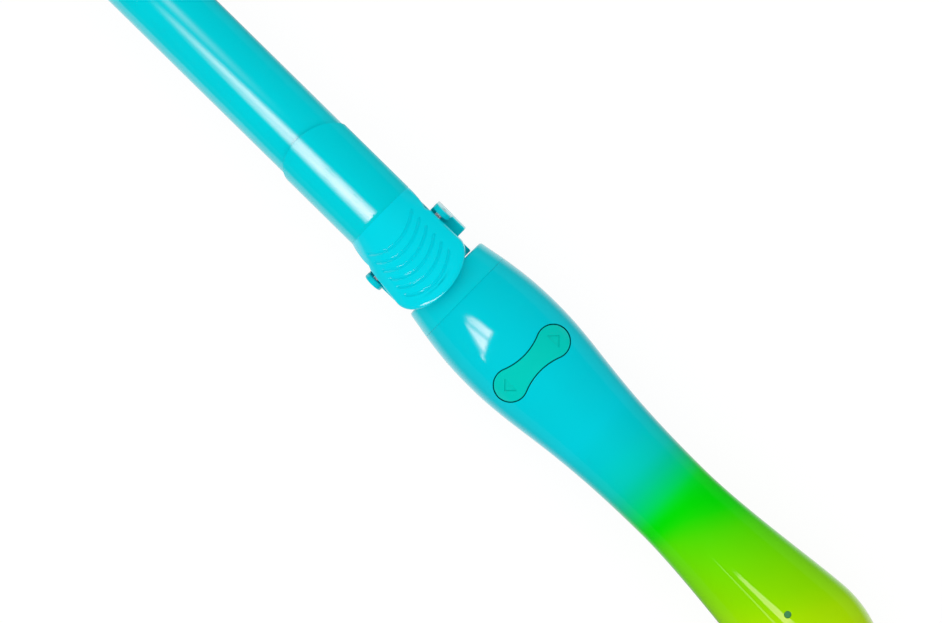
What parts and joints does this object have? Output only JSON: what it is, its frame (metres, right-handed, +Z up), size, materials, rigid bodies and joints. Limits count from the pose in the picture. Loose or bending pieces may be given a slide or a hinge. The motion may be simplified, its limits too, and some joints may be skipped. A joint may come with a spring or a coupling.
{
  "type": "rotating curling iron",
  "caption": "Rotating hair curling iron lying on its back: motor-driven barrel with a spoon clamp, grooved thumb lever, collar and waisted handle with an arrow rocker.",
  "frame": {"origin": "middle of the iron's box, on the surface that its two flats lie on", "axes": "+X along the spin axis from the barrel's tip to the cord's inlet, +Z up through the thumb lever, rocker and power button"},
  "size_m": [0.381, 0.0406, 0.0424],
  "materials": {
    "barrel_finish": "glossy ceramic coating",
    "spoon_finish": "glossy coating",
    "lever_plastic": "satin gloss",
    "base_plastic": "gloss",
    "handle_plastic": "gloss, fading from turquoise to yellow-green",
    "rocker_plastic": "satin gloss",
    "button_plastic": "satin gloss",
    "lamp_lens": "green translucent",
    "black_plastic": "fine matte",
    "white_plastic": "matte",
    "circuit_board": "lacquered board",
    "steel": "zinc plated",
    "aluminium": "extruded",
    "brass": "turned"
  },
  "bodies": {
    "handle": {"nose_collar": "base_plastic", "front_bush": "brass", "front_shell": "handle_plastic", "rear_shell": "handle_plastic", "housing_screws": "steel", "gearbox": "steel", "motor": "steel", "brush_block": "black_plastic", "carbon_brushes": "black_plastic", "switch_board": "circuit_board", "rocker_switches": "black_plastic", "rocker_cradle": "white_plastic", "home_sensor": "black_plastic", "control_board": "circuit_board", "board_parts": "black_plastic", "power_switch": "black_plastic", "indicator_led": "lamp_lens", "light_pipe": "lamp_lens"},
    "barrel": {"barrel_tube": "barrel_finish", "cool_tip": "base_plastic", "heat_spreader_upper": "aluminium", "heat_spreader_lower": "aluminium", "heater_plates": "white_plastic", "thermistor": "black_plastic", "thermal_fuse": "white_plastic", "hinge_base": "base_plastic", "hinge_pin": "steel", "clamp_spring": "steel", "hub_tube": "steel", "retaining_clip": "steel", "slip_ring_drum": "black_plastic", "slip_rings": "brass", "drive_coupler": "white_plastic", "home_magnet": "steel", "output_shaft": "steel"},
    "clamp": {"clamp_spoon": "spoon_finish", "clamp_lever": "lever_plastic", "spoon_screws": "steel"},
    "rocker": {"arrow_rocker": "rocker_plastic"},
    "button": {"power_button": "button_plastic"},
    "swivel": {"cord_swivel": "black_plastic"}
  },
  "joints": [
    {"name": "barrel_spin", "type": "hinge", "parent": "handle", "child": "barrel", "pos_m": [0, 0, 0.0194], "axis": [1, 0, 0], "continuous": true},
    {"name": "clamp_squeeze", "type": "hinge", "parent": "barrel", "child": "clamp", "pos_m": [-0.0285, -0.00113, 0.02651], "axis": [0, 0.9877, 0.1564], "range_deg": [0, 7.5], "stiffness_Nm_per_rad": 0.4, "springref_deg": -17.19, "deforming": ["clamp_spring"]},
    {"name": "rocker_tilt", "type": "hinge", "parent": "handle", "child": "rocker", "pos_m": [0.0277, 0, 0.0337], "axis": [1, 0, 0], "range_deg": [-3, 3], "stiffness_Nm_per_rad": 0.05},
    {"name": "power_press", "type": "slide", "parent": "handle", "child": "button", "axis": [0, 0, -1], "range_m": [0, 0.001], "stiffness_N_per_m": 300, "springref_m": -0.001},
    {"name": "swivel_spin", "type": "hinge", "parent": "handle", "child": "swivel", "pos_m": [0.1705, 0, 0.0194], "axis": [1, 0, 0], "continuous": true}
  ]
}
